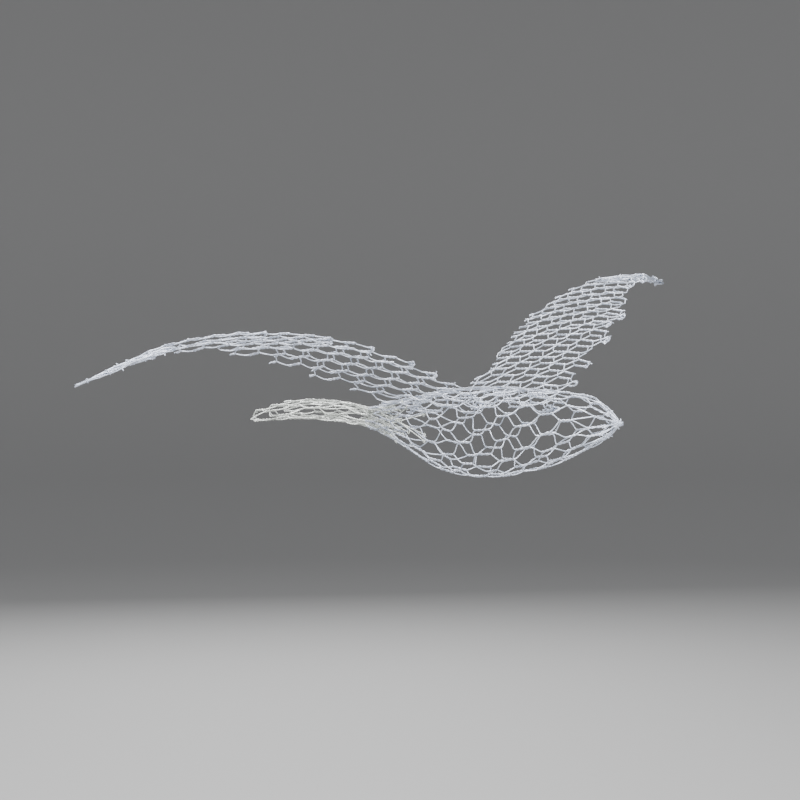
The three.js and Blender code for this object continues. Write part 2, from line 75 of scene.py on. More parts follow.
# small wire work, with knots and coils as radius, turns and pitch
smallWork = {
    "coilSteps": 9,  # for each turn
    "coilFlare": 0.5,  # how far a coil's cut ends stand off
    "linkBow": 1.5,  # how strongly the wires of a link leave and arrive straight on
    "linkKnot": (0.7, 1.5, 0.75),
    "endKnot": (0.62, 1.3, 0.6),
    "endKnotPlace": 0.06,  # share of the link's length
    "cutSteps": 4,
    "cutLength": 0.9,
    "cutUneven": 0.5,
    "cutLift": 0.35,
}


# a number between -1 and 1, always the same for the same seed
def scatter(seed):
    value = math.sin(seed * 127.1 + 11.7) * 43758.5453
    return 2 * (value - math.floor(value)) - 1


def lerp(low, high, share):
    return low + (high - low) * share


def clamp(value, low, high):
    return max(low, min(high, value))


# a smooth curve through rows of numbers, read at a share of the first column
def readStations(stations, share, column):
    last = len(stations) - 1
    k = 0
    while k < last - 1 and share > stations[k + 1][0]:
        k += 1

    def slope(m):
        a = stations[max(m - 1, 0)]
        b = stations[min(m + 1, last)]
        return (b[column] - a[column]) / (b[0] - a[0])

    step = stations[k + 1][0] - stations[k][0]
    t = (share - stations[k][0]) / step
    start, end = stations[k][column], stations[k + 1][column]
    curve = (2 * t**3 - 3 * t**2 + 1) * start + (3 * t**2 - 2 * t**3) * end
    return curve + ((t**3 - 2 * t**2 + t) * slope(k) + (t**3 - t**2) * slope(k + 1)) * step


# how far a single wire reaches along the twisted sides while it crosses half a cell
def legAdvance(halfCell):
    leg = netting["legLength"]
    return math.sqrt(max(leg**2 - halfCell**2, 0.25 * leg**2))


# round wires, each swept along its path
class WireWork:
    def __init__(self):
        self.corners = []
        self.faces = []
        self.smooth = []
        sides = netting["sides"]
        turns = [2 * math.pi * m / sides for m in range(sides)]
        self.rim = [(math.cos(turn), math.sin(turn)) for turn in turns]

    def run(self, path, cutStart=False, cutEnd=False):
        radius = netting["wireRadius"]
        sides = len(self.rim)
        first = len(self.corners)
        last = len(path) - 1
        across = None
        for k, place in enumerate(path):
            way = (path[min(k + 1, last)] - path[max(k - 1, 0)]).normalized()
            across = across or way.orthogonal()
            across = (across - way * across.dot(way)).normalized()
            other = way.cross(across)
            self.corners += [place + (across * c + other * s) * radius for c, s in self.rim]
        for k in range(last):
            low = first + k * sides
            for m in range(sides):
                n = (m + 1) % sides
                self.faces.append((low + m, low + n, low + sides + n, low + sides + m))
                self.smooth.append(True)
        if cutStart:
            self.faces.append(tuple(first + m for m in reversed(range(sides))))
            self.smooth.append(False)
        if cutEnd:
            self.faces.append(tuple(first + last * sides + m for m in range(sides)))
            self.smooth.append(False)

    # a coil round an axis, its ends cut and turned up a little
    def coil(self, centre, axis, radius, turns, pitch, seed, tall=1.0, upright=None):
        axis = axis.normalized()
        side = (upright or axis.orthogonal()).cross(axis).normalized()
        up = axis.cross(side)
        steps = int(turns * smallWork["coilSteps"])
        path = []
        for k in range(steps + 1):
            share = k / steps
            angle = 2 * math.pi * (turns * share + 0.5 * scatter(seed))
            flare = 1 + smallWork["coilFlare"] * abs(2 * share - 1) ** 8
            place = centre + axis * (share - 0.5) * turns * pitch
            path.append(place + (side * math.cos(angle) + up * math.sin(angle) * tall) * radius * flare)
        self.run(path, True, True)

    # a short wire, cut off where it ends
    def cutWire(self, start, startWay, end, endWay, seed, reach=0.8, steps=None):
        path = bend(start, startWay, end, endWay, seed, reach, steps or smallWork["cutSteps"])
        self.run(path, False, True)


# a bent wire from one place to another that leaves and arrives in the given directions
def bend(start, startWay, end, endWay, seed, reach=None, steps=None):
    length = (end - start).length
    reach = (reach or netting["bendReach"]) * length
    steps = steps or netting["legSteps"]
    sag = Vector((scatter(seed + 0.1), scatter(seed + 0.2), scatter(seed + 0.3))) * netting["sag"]
    path = []
    for k in range(steps + 1):
        t = k / steps
        place = start * (2 * t**3 - 3 * t**2 + 1) + end * (3 * t**2 - 2 * t**3)
        place += (startWay * (t**3 - 2 * t**2 + t) + endWay * (t**3 - t**2)) * reach
        path.append(place + sag * math.sin(math.pi * t) ** 2)
    return path


# two wires wound round the line between two places
def windPair(start, end, startNormal, endNormal, halfTurns):
    axis = (end - start).normalized()
    steps = halfTurns * netting["halfTurnSteps"]
    paths = [[], []]
    for k in range(steps + 1):
        share = k / steps
        normal = startNormal.lerp(endNormal, share)
        normal = (normal - axis * normal.dot(axis)).normalized()
        side = axis.cross(normal)
        angle = math.pi * halfTurns * share
        radial = side * math.cos(angle) + normal * math.sin(angle)
        radial *= netting["strandOffset"] * (1 + netting["spread"] * abs(2 * share - 1) ** 4)
        middle = start.lerp(end, share)
        paths[0].append(middle + radial)
        paths[1].append(middle - radial)
    return paths


# where a wire leaves a twisted side
class Strand:
    def __init__(self, place, before):
        self.place = place
        self.way = (place - before).normalized()
        self.used = False


# points with a normal, and the wires between them: twisted sides, stubs of cut ones,
# single wires, and links over an edge
class Net:
    def __init__(self):
        self.places = []
        self.normals = []
        self.wires = []
        self.strands = {}

    def addPoint(self, place, normal):
        self.places.append(place - normal.normalized() * netting["sink"])
        self.normals.append(normal.normalized())
        return len(self.places) - 1

    def addWire(self, a, b, kind):
        self.wires.append((a, b, kind))

    def degree(self, point):
        return sum(1 for a, b, kind in self.wires if point in (a, b))

    # takes away single wires that end in the air
    def prune(self):
        again = True
        while again:
            count = [0] * len(self.places)
            for a, b, kind in self.wires:
                count[a] += 1
                count[b] += 1
            kept = [w for w in self.wires if w[2] != "single" or (count[w[0]] > 1 and count[w[1]] > 1)]
            again = len(kept) < len(self.wires)
            self.wires = kept

    # keeps only the wires that hang together with the largest piece
    def keepLargest(self):
        group = list(range(len(self.places)))

        def find(index):
            while group[index] != index:
                index = group[index]
            return index

        for a, b, kind in self.wires:
            group[find(a)] = find(b)
        sizes = {}
        for a, b, kind in self.wires:
            sizes[find(a)] = sizes.get(find(a), 0) + 1
        largest = max(sizes, key=sizes.get)
        self.wires = [wire for wire in self.wires if find(wire[0]) == largest]

    def pickStrand(self, point, toward):
        strands = self.strands.get(point)
        if not strands:
            return Strand(self.places[point], self.places[point] - toward)
        place = self.places[point]
        best = max(strands, key=lambda strand: (strand.place - place).dot(toward) - 0.2 * strand.used)
        best.used = True
        return best

    def draw(self, work):
        for a, b, kind in self.wires:
            if kind not in ("twist", "stub"):
                continue
            halfTurns = netting["halfTurns"] if kind == "twist" else 1
            paths = windPair(self.places[a], self.places[b], self.normals[a], self.normals[b], halfTurns)
            for path in paths:
                work.run(path)
                self.strands.setdefault(a, []).append(Strand(path[0], path[1]))
                self.strands.setdefault(b, []).append(Strand(path[-1], path[-2]))
        for index, (a, b, kind) in enumerate(self.wires):
            toward = self.places[b] - self.places[a]
            if kind == "single":
                start = self.pickStrand(a, toward)
                end = self.pickStrand(b, -toward)
                work.run(bend(start.place, start.way, end.place, -end.way, index))
            elif kind == "link":
                self.drawLink(work, a, b, index)
        for point, strands in self.strands.items():
            for k, strand in enumerate(strands):
                if not strand.used:
                    self.drawCut(work, point, strand, point + 0.5 * k)

    # both wires of a side bent over to another one, with knots on most of them
    def drawLink(self, work, a, b, seed):
        toward = self.places[b] - self.places[a]
        for k in range(2):
            start = self.pickStrand(a, toward)
            end = self.pickStrand(b, -toward)
            work.run(bend(start.place, start.way, end.place, -end.way, seed + k, smallWork["linkBow"]))
        if scatter(seed + 0.7) > 0.1:
            middle = self.places[a].lerp(self.places[b], 0.5 + 0.2 * scatter(seed))
            work.coil(middle, toward, *smallWork["linkKnot"], seed)
        for k, point in enumerate((a, b)):
            if scatter(seed + 0.9 + k) > -0.2:
                knot = self.places[point] + toward * smallWork["endKnotPlace"] * (1 - 2 * k)
                work.coil(knot, self.normals[point].cross(toward), *smallWork["endKnot"], seed + k)

    # a cut end that stands off the net
    def drawCut(self, work, point, strand, seed):
        length = smallWork["cutLength"] + smallWork["cutUneven"] * scatter(seed)
        off = (strand.place - self.places[point]).normalized()
        lift = off * smallWork["cutLift"]
        lift += self.normals[point] * smallWork["cutLift"] * scatter(seed + 0.4)
        end = strand.place + strand.way * length + lift * length
        way = (strand.way + lift).normalized()
        work.cutWire(strand.place, strand.way, end, way, seed, 0.7)


# a net wrapped round a tube, its twisted sides along it
def wrapTube(net, columns, start, end, sectionAt, wobble):
    twist = netting["twistLength"]
    rows = []
    along = start
    while True:
        rows.append(along)
        spacing = sectionAt(along + twist)["girth"] / columns
        along += (twist + legAdvance(spacing)) * sectionAt(along)["advance"]
        if along + twist * 0.6 > end:
            break

    def seat(along, column, seed):
        shift = wobble * scatter(seed)
        turn = 0.5 * wobble * scatter(seed + 0.37) / (sectionAt(along)["girth"] / columns)
        return sectionAt(along + shift)["seat"]((column + clamp(turn, -0.3, 0.3)) / columns)

    low, high = {}, {}
    for row, along in enumerate(rows):
        for column in range(row % 2, columns, 2):
            seed = row * 31 + column
            length = twist * sectionAt(along)["advance"]
            low[row, column] = net.addPoint(*seat(along, column, seed))
            high[row, column] = net.addPoint(*seat(min(along + length, end), column, seed + 0.5))
            net.addWire(low[row, column], high[row, column], "twist")
            for step in (-1, 1):
                before = high.get((row - 1, (column + step) % columns))
                if before is not None:
                    net.addWire(before, low[row, column], "single")
    return rows, low, high


# a socket that can be added to and multiplied
class Shade:
    def __init__(self, finish, socket):
        self.finish = finish
        self.socket = socket

    def combine(self, operation, first, second):
        return self.finish.node("ShaderNodeMath", {"operation": operation}, {0: first, 1: second})

    def __add__(self, other):
        return self.combine("ADD", self, other)

    def __radd__(self, other):
        return self.combine("ADD", other, self)

    def __mul__(self, other):
        return self.combine("MULTIPLY", self, other)

    def __rmul__(self, other):
        return self.combine("MULTIPLY", other, self)


# a material and the nodes that feed it
class Finish:
    def __init__(self, name):
        self.material = bpy.data.materials.new(name)
        self.material.use_nodes = True
        self.tree = self.material.node_tree
        self.shader = self.tree.nodes["Principled BSDF"]

    def node(self, kind, settings, sockets, output=0):
        made = self.tree.nodes.new(kind)
        for name, value in settings.items():
            if name == "stops":
                ramp = made.color_ramp.elements
                while len(ramp) < len(value):
                    ramp.new(0.5)
                for stop, (place, shade) in zip(ramp, value):
                    stop.position = place
                    stop.color = (shade, shade, shade, 1)
            else:
                setattr(made, name, value)
        for name, value in sockets.items():
            self.connect(made.inputs[name], value)
        return Shade(self, made.outputs[output])

    def connect(self, target, value):
        if isinstance(value, Shade):
            self.tree.links.new(value.socket, target)
        else:
            target.default_value = value

    def feed(self, **sockets):
        for name, value in sockets.items():
            self.connect(self.shader.inputs[name.replace("_", " ")], value)


def colour(rgb):
    return (*rgb, 1)


# zinc with crystals of uneven brightness, dull patches and a fine grain
def galvanisedWire(name, look):
    finish = Finish(name)
    where = finish.node("ShaderNodeTexCoord", {}, {}, "Object")

    def pattern(kind, size, settings, output=0):
        return finish.node(kind, {}, {"Vector": where, "Scale": 1 / (look[size] * mm)} | settings, output)

    def mixed(share, first, second):
        return finish.node("ShaderNodeMix", {"data_type": "RGBA"}, {0: share, 6: first, 7: second}, 2)

    crystals = pattern("ShaderNodeTexVoronoi", "spangleSize", {}, "Color")
    spangle = finish.node("ShaderNodeRGBToBW", {}, {"Color": crystals})
    patches = pattern("ShaderNodeTexNoise", "patchSize", {"Detail": 3.0})
    dull = finish.node("ShaderNodeValToRGB", {"stops": look["dullStops"]}, {"Fac": patches})
    grain = pattern("ShaderNodeTexNoise", "grainSize", {"Detail": 2.0})
    bright = mixed(spangle, colour(look["pale"]), colour(look["mid"]))
    height = grain + spangle * look["spangleBump"]
    depth = {"Strength": look["bump"], "Distance": look["bumpDepth"] * mm, "Height": height}
    finish.feed(
        Base_Color=mixed(dull * look["dullShare"], bright, colour(look["dull"])),
        Metallic=look["metallic"],
        Roughness=look["roughness"] + grain * look["grainRough"] + dull * look["dullRough"],
        Normal=finish.node("ShaderNodeBump", {}, depth),
    )
    return finish.material


# the piece, on the only body and in place of its CAD node
def buildPiece(name, work, material, node):
    mesh = bpy.data.meshes.new(name)
    mesh.from_pydata([corner * mm for corner in work.corners], [], work.faces)
    mesh.polygons.foreach_set("use_smooth", work.smooth)
    mesh.materials.append(material)
    mesh.update()
    piece = bpy.data.objects.new(name, mesh)
    bpy.context.scene.collection.objects.link(piece)
    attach(piece, "root")
    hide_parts(node)
    print(name, len(mesh.polygons), "faces")


zinc = {
    "pale": (0.82, 0.87, 0.98),
    "mid": (0.60, 0.65, 0.76),
    "dull": (0.31, 0.35, 0.42),
    "dullShare": 0.7,
    "dullStops": [(0.46, 0), (0.66, 1)],
    "spangleSize": 2.2,
    "patchSize": 7,
    "grainSize": 0.35,
    "roughness": 0.26,
    "grainRough": 0.12,
    "dullRough": 0.2,
    "metallic": 0.7,
    "bump": 0.08,
    "bumpDepth": 0.05,
    "spangleBump": 0.3,
}
weathered = {
    "pale": (0.84, 0.87, 0.84),
    "mid": (0.62, 0.65, 0.62),
    "dull": (0.34, 0.36, 0.33),
}
zincWire = galvanisedWire("galvanised wire", zinc)
weatheredWire = galvanisedWire("weathered galvanised wire", zinc | weathered)

# a hollow spindle, closed to a point at the beak and open behind
body = {
    "length": 157,
    "depth": 45,
    "beakReach": 100,
    "backDrop": -0.5,
    "wobble": 1.4,
    "gatherShare": 0.04,  # bound together behind the beak's tip
    "netShare": 0.055,  # where the gathered wires open into cells
    "crushedEvery": 3,  # of the columns, with its last twisted side left out where the tail starts
    # share of the length from the beak back, share of half the depth,
    # drop of the centre as a share of the depth
    "stations": [
        [0.0, 0.04, 0.0],
        [0.04, 0.22, 0.01],
        [0.13, 0.58, 0.01],
        [0.3, 0.87, 0.12],
        [0.52, 1.0, 0.21],
        [0.69, 0.89, 0.215],
        [0.83, 0.59, 0.16],
        [0.92, 0.4, 0.125],
        [1.0, 0.29, 0.11],
    ],
}


def bodyCentreHeight(share):
    deepest = max(row[2] for row in body["stations"])
    backHeight = body["depth"] / 2 - deepest * body["depth"]
    return body["backDrop"] - backHeight - readStations(body["stations"], share, 2) * body["depth"]


def bodyRadius(share):
    return readStations(body["stations"], share, 1) * body["depth"] / 2


def bodySection(along):
    share = clamp(along / body["length"], 0, 1)
    radius = bodyRadius(share)
    step = 0.01
    ahead = min(share + step, 1)
    rise = (bodyRadius(ahead) - bodyRadius(ahead - step)) / (step * body["length"])

    def seat(turn, lift=0.0):
        angle = 2 * math.pi * turn
        out = Vector((0, math.sin(angle), math.cos(angle)))
        place = Vector((body["beakReach"] - along, 0, bodyCentreHeight(share))) + out * (radius + lift)
        return place, out + Vector((rise, 0, 0))

    return {"girth": 2 * math.pi * radius, "advance": 1 / math.hypot(1, rise), "seat": seat}


def bodySide(ahead, height):
    share = clamp((body["beakReach"] - ahead) / body["length"], 0, 1)
    above = height - bodyCentreHeight(share)
    return math.sqrt(max(bodyRadius(share) ** 2 - above**2, 0))


def makeBody():
    net = Net()
    work = WireWork()
    columns = 2 * round(math.pi * body["depth"] / netting["meshWidth"])
    start = body["netShare"] * body["length"]
    rows, low, high = wrapTube(net, columns, start, body["length"], bodySection, body["wobble"])
    last = len(rows) - 1
    every = body["crushedEvery"]
    crushed = {high[last, column] for column in range(last % 2, columns, 2) if column % every == 0}
    net.wires = [wire for wire in net.wires if wire[1] not in crushed]
    net.prune()
    drawBeak(work, net, low, columns)
    net.draw(work)
    drawBackSeam(work)
    buildPiece("bodyNet", work, zincWire, "body_net")


beak = {
    "rootShare": 0.6,  # where the foremost wires come together, as a share of the bound length
    "drawnIn": 0.5,
    "noseBack": (0.6, 1.6),  # nearest place of the wires' ends behind the tip, and how much they differ
    "noseOut": (0.45, 0.3),  # of each pair's first wire from the middle, and how much farther the second
    "noseSteps": 5,
    "coils": [(3.4, 1.6), (2.3, 1.25)],  # place behind the tip, radius
    "coilTurns": 1.7,
    "coilPitch": 0.75,
    "cutEnds": 5,
    "cutBack": (3, 4.5),  # nearest place of the cut ends behind the tip, and how much they differ
    "cutRoot": 1.8,
    "cutLength": 1.9,
}


# the foremost wires run together at the tip, where a wire is wound round them
def drawBeak(work, net, low, columns):
    gather = body["gatherShare"] * body["length"] * beak["rootShare"]
    tip = Vector((body["beakReach"], 0, bodyCentreHeight(0)))
    heart = Vector((body["beakReach"] - gather, 0, bodyCentreHeight(0)))
    axis = Vector((1, 0, 0))
    for column in range(0, columns, 2):
        point = low[0, column]
        place, normal = bodySection(gather)["seat"](column / columns)
        knot = place.lerp(heart, beak["drawnIn"])
        paths = windPair(knot, net.places[point], normal.normalized(), net.normals[point], 1)
        turn = 2 * math.pi * column / columns
        for k, path in enumerate(paths):
            net.strands.setdefault(point, []).append(Strand(path[-1], path[-2]))
            back = beak["noseBack"][0] + beak["noseBack"][1] * abs(scatter(column + 0.3 * k))
            off = beak["noseOut"][0] + beak["noseOut"][1] * k
            out = Vector((0, math.sin(turn + k), math.cos(turn + k))) * off
            way = (path[0] - path[1]).normalized()
            end = tip + out - Vector((back, 0, 0))
            nose = bend(path[0], way, end, axis, column, 0.8, beak["noseSteps"])
            work.run(list(reversed(path)) + nose[1:], False, True)
    for k, (back, radius) in enumerate(beak["coils"]):
        work.coil(tip - axis * back, axis, radius, beak["coilTurns"], beak["coilPitch"], k + 3)
    for k in range(beak["cutEnds"]):
        turn = 2 * math.pi * (k / beak["cutEnds"] + 0.1 * scatter(k))
        out = Vector((0.4 * scatter(k + 0.6), math.sin(turn), math.cos(turn))).normalized()
        back = beak["cutBack"][0] + beak["cutBack"][1] * abs(scatter(k + 0.9))
        root = tip - axis * back + out * beak["cutRoot"]
        work.cutWire(root, (out - axis).normalized(), root + out * beak["cutLength"], out, k)


# overlapping edges of the netting along the back
seam = {
    "wires": 5,
    "swing": 0.65,
    "rise": 0.5,
    "winding": 3.4,
    "stepLength": 1.6,
    "laterFront": 10,  # how much farther back some of its wires start at most
    "soonerRear": 22,  # how much sooner some of them end at most
    "cutEnds": 11,
    "cutRoot": 0.6,
    "cutLength": 1.5,
    # place behind the beak, sideways place, lift
    "stations": [
        [36, -2.6, 0.2],
        [48, -1.4, 0.2],
        [62, -0.4, 0.6],
        [78, 0, 1.1],
        [96, 0.3, 1.1],
        [114, 0.2, 0.8],
        [134, 0, 0.4],
        [151, 0.2, 0.2],
    ],
}


def drawBackSeam(work):
    front, rear = seam["stations"][0][0], seam["stations"][-1][0]
    for index in range(seam["wires"]):
        start = front + seam["laterFront"] * abs(scatter(index + 0.2)) * (index > 1)
        end = rear - seam["soonerRear"] * abs(scatter(index + 0.6)) * (index > 2)
        steps = int((end - start) / seam["stepLength"])
        phase = 2 * math.pi * index / seam["wires"]
        path = []
        for k in range(steps + 1):
            along = lerp(start, end, k / steps)
            winding = along / (seam["winding"] + 0.35 * (index % 3)) + phase
            section = bodySection(along)
            aside = readStations(seam["stations"], along, 1) + seam["swing"] * math.sin(winding)
            lift = readStations(seam["stations"], along, 2) + seam["rise"] * math.cos(winding)
            path.append(section["seat"](aside / section["girth"], lift + 0.1 * scatter(index * 77 + k))[0])
        work.run(path, True, True)
    # cut ends that stand off it
    for k in range(seam["cutEnds"]):
        along = lerp(front, rear, (k + 0.5 + 0.3 * scatter(k)) / seam["cutEnds"])
        section = bodySection(along)
        aside = readStations(seam["stations"], along, 1)
        root = section["seat"](aside / section["girth"], seam["cutRoot"])[0]
        way = Vector((0.9 * scatter(k + 0.3), 0.8 * scatter(k + 0.5), 0.6)).normalized()
        work.cutWire(root, Vector((1, 0, 0)), root + way * seam["cutLength"], way, k)


makeBody()

# upper and lower net of each wing, close together, bent over to each other along the edges
wings = {
    "reach": 190,
    "stretch": 1.1,  # cells pulled wider than in the body's net
    "gap": 3.5,
    "edgeGap": 2.5,
    "camber": 2,
    "rootBlend": 0.25,
    "tipChord": 13,  # where the wires are gathered into one bundle
    "layerSlide": 1.2,
    "layerShift": 0.12,
    "wobble": 0.5,
    "rootClear": 1.25,  # from the body's net to the wing's, as a share of a twisted side's width
    "rootSpread": 0.86,  # place of the root as a share of half the body's depth
    "plainEvery": 3,  # of the cut sides, with nothing left of it
    "probe": 0.02,  # step that finds the wing's direction, as a share of the reach
}
# stations: share of the reach, leading and trailing edge ahead of the hanging point,
# heights of both edges
rightWing = {
    "side": -1,
    "strands": 8,
    "tangle": 1.4,
    "thick": 3.2,  # of the bundle where it starts and at its end
    "tip": 1.7,
    "taper": 1,
    "bundleLead": 1.6,  # columns of cells from the bundle's start to the last one
    "bundlePlace": 0.5,  # where it starts on the chord
    "prongs": 0,
    "stations": [
        [0.0, 0.198, -0.102, -0.051, -0.059],
        [0.2, 0.128, -0.208, 0.061, 0.027],
        [0.39, 0.039, -0.309, 0.143, 0.105],
        [0.575, -0.114, -0.383, 0.173, 0.124],
        [0.66, -0.228, -0.406, 0.157, 0.123],
        [0.74, -0.342, -0.406, 0.12, 0.11],
        [0.82, -0.423, -0.446, 0.078, 0.076],
        [0.885, -0.484, -0.496, 0.041, 0.04],
    ],
}
leftWing = {
    "side": 1,
    "strands": 16,
    "tangle": 0.9,
    "thick": 3.6,
    "tip": 2.4,
    "taper": 4,
    "bundleLead": 3,
    "bundlePlace": 0.1,
    "prongs": 4,  # cut wires that stand up at the tip, above a knot
    "stations": [
        [0.0, 0.249, -0.051, -0.053, -0.058],
        [0.2, 0.204, -0.129, 0.04, 0.036],
        [0.4, 0.147, -0.19, 0.13, 0.114],
        [0.62, 0.061, -0.222, 0.194, 0.189],
        [0.86, -0.042, -0.209, 0.249, 0.258],
        [0.98, -0.061, -0.134, 0.268, 0.268],
        [1.1, -0.081, -0.098, 0.244, 0.242],
    ],
}


# where the wing's two layers lie, by column of cells and by place ahead of the hanging point
class WingSurface:
    def __init__(self, wing):
        self.side = wing["side"]
        self.stations = wing["stations"]
        self.rootGap = wings["rootClear"] * netting["twistWidth"] + netting["pieceGap"]
        self.rootOut = wings["rootSpread"] * body["depth"] / 2 + self.rootGap
        self.rootChord = (self.stations[0][1] - self.stations[0][2]) * wings["reach"]
        self.lastShare = self.stations[-1][0]
        # shares of the reach at equal steps along the wing's middle line
        self.steps = [0]
        fine = 400
        travelled = 0
        before = self.middle(0)
        for k in range(1, fine + 1):
            share = self.lastShare * k / fine
            here = self.middle(share)
            ahead = travelled + (here - before).length
            while ahead >= len(self.steps) * wings["stretch"] * netting["meshWidth"] / 2:
                self.steps.append(share)
            travelled = ahead
            before = here
        self.columns = len(self.steps) - 1

    def edgeAt(self, share, column, height):
        reach = wings["reach"]
        x = readStations(self.stations, share, column) * reach
        z = readStations(self.stations, share, height) * reach + body["backDrop"]
        return Vector((x, self.side * (self.rootOut + share * reach), z))

    def middle(self, share):
        return self.edgeAt(share, 1, 3).lerp(self.edgeAt(share, 2, 4), 0.5)

    def shareOf(self, column):
        low = int(clamp(math.floor(column), 0, len(self.steps) - 2))
        return self.steps[low] + (column - low) * (self.steps[low + 1] - self.steps[low])

    def edges(self, column):
        share = self.shareOf(column)
        return self.edgeAt(share, 2, 4), self.edgeAt(share, 1, 3)

    def centre(self, column):
        trail, lead = self.edges(column)
        return trail.lerp(lead, 0.5)

    # layer is 1 above and -1 below
    def seat(self, column, along, layer):
        share = self.shareOf(column)
        trail, lead = self.edges(column)
        across = (along - trail.x) / (lead.x - trail.x)
        chord = (lead - trail).normalized()
        probe = wings["probe"]
        out = self.middle(min(share + probe, self.lastShare)) - self.middle(max(share - probe, 0))
        normal = (chord.cross(out) * self.side).normalized()
        inner = 1 - min(abs(2 * across - 1), 1) ** 3
        bow = wings["camber"] * inner * min(1, (lead.x - trail.x) / self.rootChord)
        half = (wings["edgeGap"] + (wings["gap"] - wings["edgeGap"]) * inner) / 2
        place = trail.lerp(lead, across) + normal * (bow + layer * half)
        leave = max(1 - share / wings["rootBlend"], 0) ** 2
        seated = self.side * (bodySide(place.x, place.z) + self.rootGap + share * wings["reach"])
        place.y += leave * (seated - place.y)
        return place, normal * layer, chord


def makeWing(name, node, wing):
    net = Net()
    work = WireWork()
    surface = WingSurface(wing)
    twist = netting["twistLength"]
    period = 2 * (twist + legAdvance(netting["meshWidth"] / 2))
    rearmost = min(row[2] for row in wing["stations"]) * wings["reach"]
    foremost = max(row[1] for row in wing["stations"]) * wings["reach"]
    start = math.floor(rearmost / period) * period
    count = math.ceil((foremost - start) / period) + 1

    def chordAt(column):
        trail, lead = surface.edges(column)
        return lead.x - trail.x

    lastColumn = surface.columns - 1
    while chordAt(lastColumn - 1) < wings["tipChord"]:
        lastColumn -= 1
    ends = {1: {}, -1: {}}
    fronts = {1: {}, -1: {}}
    for layer in (1, -1):
        points = {}

        def put(column, along, k, end, lean=0):
            seed = 17 * column + 3 * k + 5 * end + layer
            shifted = column + wings["wobble"] * 2 / netting["meshWidth"] * scatter(seed)
            shifted += wings["layerShift"] * layer * (column > 0)
            slid = along + layer * wings["layerSlide"] + wings["wobble"] * scatter(seed + 0.37)
            place, normal, chord = surface.seat(shifted, slid, layer)
            points[column, k, end] = net.addPoint(place, normal + chord * lean)
            return points[column, k, end]

        for column in range(lastColumn + 1):
            trail, lead = surface.edges(column)
            for k in range(count):
                middle = start + k * period + (period / 2 if column % 2 else 0)
                rear, front = middle - twist / 2, middle + twist / 2
                holdsRear, holdsFront = [trail.x < along < lead.x for along in (rear, front)]
                if holdsRear:
                    put(column, rear, k, 0)
                if holdsFront:
                    put(column, front, k, 1)
                if holdsRear and holdsFront:
                    net.addWire(points[column, k, 0], points[column, k, 1], "twist")
                elif (holdsRear or holdsFront) and (column + k) % wings["plainEvery"]:
                    reach = rear + netting["stubLength"] if holdsRear else front - netting["stubLength"]
                    end = put(column, reach, k, 2, 1 if holdsRear else -1)
                    net.addWire(points[column, k, 0 if holdsRear else 1], end, "stub")
                    if holdsRear:  # cut at the leading edge, so bent over to the other layer
                        ends[layer][column, k] = end
        for column in range(lastColumn + 1):
            for k in range(count):
                ahead = k + 1 if column % 2 else k
                for neighbour in (column - 1, column + 1):
                    a, b = points.get((column, k, 1)), points.get((neighbour, ahead, 0))
                    if a is not None and b is not None:
                        net.addWire(a, b, "single")
        fronts[layer] = {(column, k): points[column, k, 1] for column, k, end in points if end == 1}
    # and so are whole twisted sides whose front ends hold no other wire
    for key, end in fronts[1].items():
        if key in fronts[-1] and key not in ends[1] and net.degree(end) == 1 == net.degree(fronts[-1][key]):
            ends[1][key], ends[-1][key] = end, fronts[-1][key]
    for key, end in ends[1].items():
        if key in ends[-1]:
            net.addWire(end, ends[-1][key], "link")
    net.prune()
    net.keepLargest()
    drawBundle(work, net, surface, wing, lastColumn)
    net.draw(work)
    drawRootTies(work, net, wing["side"])
    buildPiece(name, work, zincWire, node)


# sizes across it are shares of its thickness, places along it are shares of its length
bundle = {
    "wide": 0.62,
    "high": 0.5,
    "begin": -0.12,
    "end": 0.985,
    "lateBegin": 0.5,
    "soonEnd": 0.4,
    "stepLength": 1.8,
    "turnLength": 55,
    "coilSpacing": 11,
    "coilRadius": 0.55,
    "coilTurns": 1.6,
    "coilPitch": 0.85,
    "coilTall": 0.85,
    "cutEnds": 3,  # for each coil
    "cutRoot": 0.4,
    "cutLength": 1.3,
    "netAhead": 1.4,  # columns past the last one where the net's wires run in
    "netWide": 0.12,
    "netHigh": 0.3,
    "netReach": 0.6,  # share of a cell's width that counts as outermost
    "probe": 0.02,
}


